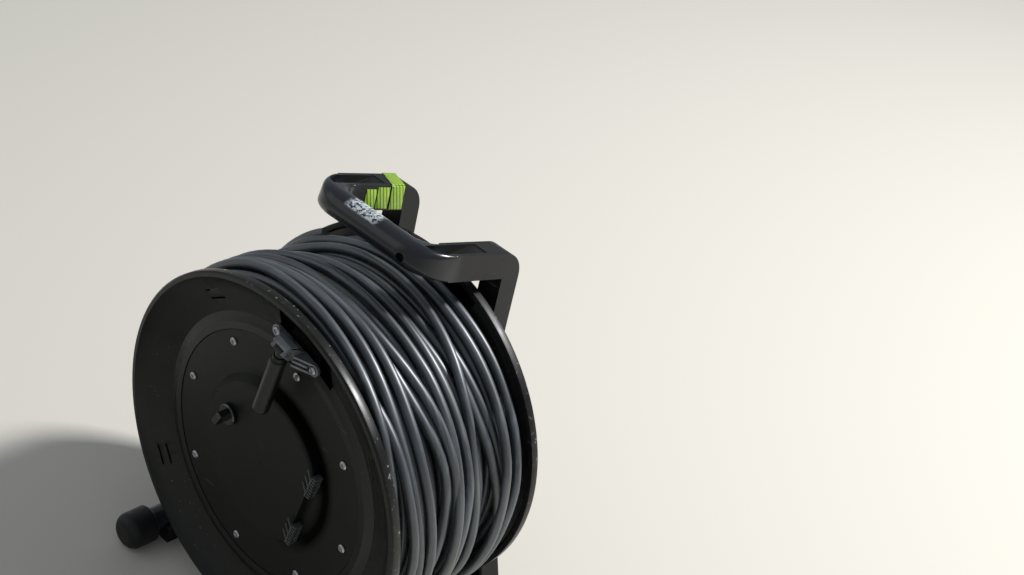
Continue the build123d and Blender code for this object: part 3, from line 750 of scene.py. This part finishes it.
# %% How high each turn lies
BARREL_LAYER, HIGHEST = 189, 235
APART = 2 * CABLE_RADIUS + 0.1
WALL_FOOT, WALL_TOP, LIP = 30, 9, 12
FOOT_RADIUS, TOP_RADIUS, LIP_RISE = 185, 231, 2
FLANGE_GAP = 1.2
SWEEPS, HEIGHT_SOFTENING = 8, 3
ASIDE = 0.9
TAUT_STEPS, TAUT_DROP = 8, 2.0


def clear_of_flange(radius):
    """Least depth of the cable's middle at a radius, in front; the rear is the same mirrored."""
    slope = (radius - FOOT_RADIUS) * (WALL_FOOT - WALL_TOP) / (TOP_RADIUS - FOOT_RADIUS)
    wall = np.minimum(WALL_FOOT, WALL_FOOT - slope)
    lip = WALL_TOP + (LIP - WALL_TOP) * np.minimum((radius - TOP_RADIUS) / LIP_RISE, 1)
    return np.where(radius > TOP_RADIUS, lip, wall) + FLANGE_GAP + CABLE_RADIUS


def between_flanges(radius):
    """Depth of every point of the path, kept off the flanges."""
    least = clear_of_flange(radius)
    return np.clip(wanted, least, DRUM_WIDTH - least)


def resting(radius, depth):
    """Radius at which every point of the path touches the highest turn under it."""
    need = np.full(total, float(BARREL_LAYER))
    for back in range(1, turns + 1):
        for aside in (-1, 0, 1):
            lag = back * STEPS + aside
            if lag >= total:
                continue
            room = APART ** 2 - (depth[lag:] - depth[:-lag]) ** 2
            lying = radius[:-lag] + np.sqrt(np.maximum(room, 0)) - ASIDE * abs(aside)
            need[lag:] = np.maximum(need[lag:], np.where(room > 0, lying, 0))
    return need


def pulled_taut(need):
    """The same radius, coming down slowly before and after a crossing."""
    taut = need.copy()
    for step in range(1, TAUT_STEPS + 1):
        taut[step:] = np.maximum(taut[step:], need[:-step] - TAUT_DROP * step)
        taut[:-step] = np.maximum(taut[:-step], need[step:] - TAUT_DROP * step)
    return taut


radius = np.full(total, float(BARREL_LAYER))
for sweep in range(SWEEPS):
    taut = pulled_taut(resting(radius, between_flanges(radius)))
    radius = np.minimum(smoothed(taut, HEIGHT_SOFTENING), HIGHEST)
depth = between_flanges(radius)
print("cable radius", radius.min().round(1), "to", radius.max().round(1))

# %% [markdown]
# The sheath is a curve through the path with a round bevel, turned into a mesh. A circle extruded
# along the path would twist at the crossings, and a curve keeps its twist least by itself.

# %% Sheath along the path
curve = bpy.data.curves.new("wound_cable", "CURVE")
curve.dimensions = "3D"
curve.bevel_depth = CABLE_RADIUS * MM
curve.bevel_resolution = 5
curve.use_fill_caps = True
spline = curve.splines.new("POLY")
spline.points.add(total - 1)
for i in range(total):
    angle = math.radians(FACING[0] + DRUM_TURN) - i * 2 * math.pi / STEPS
    spline.points[i].co = (*mm(radius[i] * math.cos(angle), depth[i], radius[i] * math.sin(angle)), 1)
cable_curve = bpy.data.objects.new("wound_cable", curve)
bpy.context.scene.collection.objects.link(cable_curve)
only(cable_curve)
bpy.ops.object.convert(target="MESH")
wound_cable = bpy.context.object
bpy.ops.object.shade_smooth()
give(wound_cable, cable_rubber)
settle(wound_cable, to_drum, "drum", "cable_rubber", "cable_winding")

# %% [markdown]
# ## Marking tape on the left arm
# One length of tape goes right round the arm just in front of the post, and two short lengths are
# stuck beside it on the arm's inner side. Painting them on the arm would be easier, but real tape
# has an edge that catches the light, so it is a thin film. The arm falls to the rear, so the film
# is drawn round the arm's section and extruded along the slope.

# %% Tape round the arm and tape stuck on its side
ARM_INNER, ARM_OUTER = 71, 105
ARM_TOP, ARM_FRONT, ARM_SLOPE, ARM_HEIGHT = 577, 134, 0.287, 35.4
TAPE, TAPE_GAP, TAPE_SLANT = 0.6, 0.1, 0.45


def arm_point(x, depth, below):
    """A point on the left arm, by its depth and its distance below the arm's top face."""
    return (-x, depth, ARM_TOP - (depth - ARM_FRONT) * ARM_SLOPE - below)


def band(name, first, width):
    """A closed band of film round the arm."""
    low, high = ARM_INNER - TAPE, ARM_OUTER + TAPE
    over, under = -TAPE_GAP, ARM_HEIGHT + TAPE_GAP
    ring = [(low, 2), (low + 2, over), (high - 2, over), (high, 2), (high, ARM_HEIGHT - 2),
            (high - 2, under), (low + 2, under), (low, ARM_HEIGHT - 2)]
    obj = draw(name, [mm(*arm_point(x, first + (x - low) * TAPE_SLANT, below))
                      for x, below in ring + ring[:1]])
    bpy.ops.mesh.remove_doubles(threshold=TOUCHING * MM)
    bpy.ops.mesh.select_all(action="SELECT")
    bpy.ops.mesh.extrude_region_move(
        TRANSFORM_OT_translate={"value": mm(0, width, -width * ARM_SLOPE)})
    bpy.ops.mesh.select_all(action="SELECT")
    bpy.ops.mesh.normals_make_consistent(inside=False)
    bpy.ops.object.mode_set(mode="OBJECT")
    only(obj)
    film = obj.modifiers.new("film", "SOLIDIFY")
    film.thickness = TAPE * MM
    film.offset = 1
    bpy.ops.object.modifier_apply(modifier="film")
    return obj


def label(name, first, width, top, bottom):
    """A short length of film on the arm's inner side."""
    rim = [(first, top), (first + width, top), (first + width - 1, bottom), (first - 1, bottom)]
    return pushed(name, [arm_point(ARM_INNER, depth, below) for depth, below in rim],
                  (TAPE, 0, 0))


tape_band = rounded(band("tape_band", first=234, width=23), 0.2)
tape_label_1 = rounded(label("tape_label_1", first=211, width=21, top=3, bottom=33), 0.2)
tape_label_2 = rounded(label("tape_label_2", first=191, width=18, top=6, bottom=33), 0.2)
for piece in (tape_band, tape_label_1, tape_label_2):
    give(piece, marking_tape)
    settle(piece, to_frame, "frame", None)

# %% [markdown]
# ## Screws
# All ten screws are the same: a low dome with a round recess and a hexagon socket in it. The dome
# is round, so its section is spun, and the socket is punched in, so a hexagonal rod is cut out of
# it. One is modelled and copied to the middle of each plain solid that it stands in for.

# %% One screw, copied ten times
SCREW_CROWN = 0.35
SOCKET_RADIUS, SOCKET_DEPTH = 1.9, 2.6
SCREW_SECTION = [(0, 3), (5.0, 3), (5.5, 2.2), (5.3, 0.9), (4.2, 0.05), (3.0, -0.35), (2.7, 0.1),
                 (2.5, 1.4), (0, 1.4)]


def placed_screw(number, target):
    """A copy of the screw at the place of a plain one."""
    corners = [vertex.co for vertex in target.data.vertices]
    across = [(min(c[i] for c in corners) + max(c[i] for c in corners)) / 2 for i in (0, 2)]
    face = min(c[1] for c in corners)
    made = screw_pattern.copy()
    made.data = screw_pattern.data.copy()
    made.name = made.data.name = f"socket_screw_{number}"
    bpy.context.scene.collection.objects.link(made)
    give(made, screw_steel)
    return settle(made, Matrix.Translation((across[0], face, across[1])), "drum",
                  "screw_steel", target.name)


screw_pattern = spun("screw_pattern", [(r, y + SCREW_CROWN) for r, y in SCREW_SECTION], 48)
hexagon = [(SOCKET_RADIUS * math.cos(i * math.pi / 3), 0, SOCKET_RADIUS * math.sin(i * math.pi / 3))
           for i in range(6)]
socket = pushed("socket", hexagon, (0, SOCKET_DEPTH, 0))
cut(screw_pattern, socket)
rounded(screw_pattern, 0.12)
plain_screws = [node[f"cover_screw_{i}"] for i in range(1, 9)] + [
    node[f"bracket_screw_{i}"] for i in (1, 2)]
for number, plain in enumerate(plain_screws, 1):
    placed_screw(number, plain)
bpy.data.objects.remove(screw_pattern)

# %% [markdown]
# ## Comb clips
# The clip for the cable's end is a ladder of nylon: a rail that stands on the cover beside the
# dish, eight rungs on its right and three thin fins that lean up and to the left over the dish.
# Every part of it is a straight bar, so each is a drawn outline pushed to its depth, and all are
# joined as one moulding. One clip is modelled and copied ninety millimetres lower.

# %% One clip, copied
COVER_FACE, DISH_FACE = 21, 12
CLIP_LOW, CLIP_HIGH, CLIP_STEP = 28, 61, 90
RAIL_LEFT, RAIL_RIGHT = 78.6, 80.6
RUNG_LEFT, RUNG_RIGHT = 80.2, 86.2
RUNGS, RUNG_HEIGHT = 8, 1.9
FIN_HEIGHTS = (35.5, 46.5, 57.5)
FIN_FRONT, FIN_DEPTH = DISH_FACE - 5.5, 3.4


def bar(name, low, high):
    """A bar between two corners in millimetres, drawn as an outline and pushed."""
    (x0, y0, z0), (x1, y1, z1) = low, high
    return pushed(name, [(x0, y0, z0), (x1, y0, z0), (x1, y0, z1), (x0, y0, z1)], (0, y1 - y0, 0))


def fin(z):
    """A thin blade that leans up and to the left from the rail."""
    outline = [(79.6, z), (79.6, z + 2.4), (71.2, z + 11.2), (70.8, z + 9.7)]
    return pushed("fin", [(x, FIN_FRONT, height) for x, height in outline], (0, FIN_DEPTH, 0))


def comb_clip():
    """Rail, rungs and leaning fins as one moulding."""
    parts = [bar("rail", (RAIL_LEFT, DISH_FACE - 4, CLIP_LOW), (RAIL_RIGHT, COVER_FACE, CLIP_HIGH)),
             bar("seat", (RUNG_LEFT, COVER_FACE - 6, CLIP_LOW), (RUNG_RIGHT, COVER_FACE, CLIP_HIGH))]
    for rung in range(RUNGS):
        z = CLIP_LOW + rung * (CLIP_HIGH - CLIP_LOW - RUNG_HEIGHT) / (RUNGS - 1)
        parts.append(bar("rung", (RUNG_LEFT, DISH_FACE - 3, z),
                         (RUNG_RIGHT, COVER_FACE - 5, z + RUNG_HEIGHT)))
    parts += [fin(z) for z in FIN_HEIGHTS]
    return rounded(one_piece("comb_clip", parts), 0.3)


clip_high = comb_clip()
clip_low = clip_high.copy()
clip_low.data = clip_high.data.copy()
clip_low.name = clip_low.data.name = "comb_clip_low"
bpy.context.scene.collection.objects.link(clip_low)
clip_low.data.transform(Matrix.Translation(mm(0, 0, -CLIP_STEP)))
for piece, replaced in ((clip_high, "comb_clip_upper"), (clip_low, "comb_clip_lower")):
    give(piece, clip_plastic)
    settle(piece, to_drum, "drum", "grip_plastic", replaced)

# %% [markdown]
# ## Small parts of the crank and the cover
# A hood closes the top of the crank's bracket over the hinge. It is one bent sheet of the nylon
# moulding, so its side view is drawn and pushed across the bracket. It stays clear of the grip's
# swing.

# %% Hood over the hinge
HINGE_X, HINGE_DEPTH, HINGE_HEIGHT = -8, -12, 203
HINGE_EYE = 9
HOOD_HALF, HOOD_WIDTH = 11.4, 22.8

hood_left = HINGE_X - HOOD_HALF
hood_side = [(HINGE_DEPTH - 6.5, HINGE_HEIGHT + 6.6),
             (HINGE_DEPTH, HINGE_HEIGHT + HINGE_EYE + 0.3),
             (HINGE_DEPTH + 10, HINGE_HEIGHT + HINGE_EYE - 2.5),
             (HINGE_DEPTH + 10.5, HINGE_HEIGHT + HINGE_EYE - 0.9),
             (HINGE_DEPTH, HINGE_HEIGHT + HINGE_EYE + 2.1),
             (HINGE_DEPTH - 7.7, HINGE_HEIGHT + 7.8)]
hood = rounded(pushed("bracket_hood", [(hood_left, y, z) for y, z in hood_side],
                      (HOOD_WIDTH, 0, 0)), 0.3)
give(hood, bracket_plastic)
settle(hood, to_drum, "drum", "bracket_plastic")

# %% [markdown]
# A collar closes the gap between the hinge and the crank's grip and swings with it, so it rides on
# the crank's body. In the middle of the dish the cover keeps the round mark of its gate, where the
# hot plastic was let into the mould. Both are round, so both are spun.

# %% Collar and gate mark
COLLAR_SECTION = [(6.05, -15.9), (8.6, -15.9), (7.8, -14), (7.4, -11.6), (6.05, -11.6)]
GATE_SECTION = [(0, 0), (0, -0.7), (1.6, -0.7), (2.3, -0.2), (2.3, 0)]

collar = rounded(spun("grip_collar", COLLAR_SECTION, 48, axis=(0, 0, 1)), 0.4)
collar.data.transform(Matrix.Translation(mm(HINGE_X, HINGE_DEPTH, HINGE_HEIGHT)))
give(collar, grip_plastic)
settle(collar, to_drum, "crank", "grip_plastic")

gate_mark = rounded(spun("gate_mark", GATE_SECTION, 32), 0.1)
gate_mark.data.transform(Matrix.Translation(mm(0, DISH_FACE, 0)))
give(gate_mark, cover_plastic)
settle(gate_mark, to_drum, "drum", "cover_plastic")

# %% [markdown]
# ## The carried-over solids
# Nodes whose shape is already right keep it and only need a finish. Their meshes are loose
# triangles, so a weld joins them first and a bevel then rounds the moulded edges. Both stay
# modifiers, because a solid's own mesh isn't touched.

# %% Finish the nodes that stay
KEPT_EDGE = 40


def keep(name, material, width=0.0):
    """Gives a solid its finish and, where it is moulded, rounded edges."""
    obj = node[name]
    give(obj, material)
    if width:
        weld = obj.modifiers.new("weld", "WELD")
        weld.merge_threshold = TOUCHING * MM
        bevel = obj.modifiers.new("round", "BEVEL")
        bevel.width = width * MM
        bevel.segments = 2
        bevel.limit_method = "ANGLE"
        bevel.angle_limit = math.radians(KEPT_EDGE)


keep("side_frame", frame_plastic, 1.2)
for side in ("right", "left"):
    keep(f"foot_tube_{side}", tube_plastic)
    keep(f"foot_cap_{side}", cap_rubber)
keep("axle", axle_steel)
keep("axle_nut", axle_steel, 0.6)
keep("front_flange", flange_plastic, 1.5)
keep("rear_flange", flange_plastic, 1.5)
keep("drum_core", flange_plastic)
keep("cover_disc", cover_plastic)
keep("crank_bracket", bracket_plastic, 0.4)
keep("crank_pin", axle_steel)
keep("crank_grip", grip_plastic)
keep("lock_knob", knob_plastic, 0.6)

# %% [markdown]
# ## Floor and light
# The floor is plain and pale, like dry stone. It is far wider than the drum, so that no edge of it
# shows from the photograph's side.

# %% Floor
FLOOR_SIZE = 12

bpy.ops.object.select_all(action="DESELECT")
bpy.ops.mesh.primitive_plane_add(size=FLOOR_SIZE)
floor = bpy.context.object
floor.name = "floor"
floor_finish, floor_tree, floor_shader = new_finish("pale_floor")
floor_shader.inputs["Base Color"].default_value = linear("#cbc7be")
floor_shader.inputs["Roughness"].default_value = 0.9
give(floor, floor_finish)


# %% [markdown]
# The key light is a softbox high behind the drum on the right, small enough for clear bright lines
# on the cable, so the front of the drum lies in its own shade. A large weak one on the left opens
# that shade a little, and an even pale surround fills the rest.

# %% Lights
def softbox(name, place, target, size, power):
    """A square area light aimed at a point, in metres and watts."""
    data = bpy.data.lights.new(name, "AREA")
    data.size = size
    data.energy = power
    lamp = bpy.data.objects.new(name, data)
    bpy.context.scene.collection.objects.link(lamp)
    lamp.location = place
    lamp.rotation_euler = (Vector(target) - Vector(place)).to_track_quat("-Z", "Y").to_euler()


MIDDLE_OF_DRUM = (0, 0, 0.3)
softbox("key", (2.1, 2.6, 4.0), MIDDLE_OF_DRUM, size=0.6, power=330)
softbox("fill", (-1.8, -1.6, 1.6), MIDDLE_OF_DRUM, size=2.0, power=5)
world = bpy.data.worlds.new("studio")
bpy.context.scene.world = world
world.use_nodes = True
world.node_tree.nodes["Background"].inputs["Color"].default_value = linear("#e3eaf2")
world.node_tree.nodes["Background"].inputs["Strength"].default_value = 0.4
bpy.context.scene.view_settings.view_transform = "Standard"
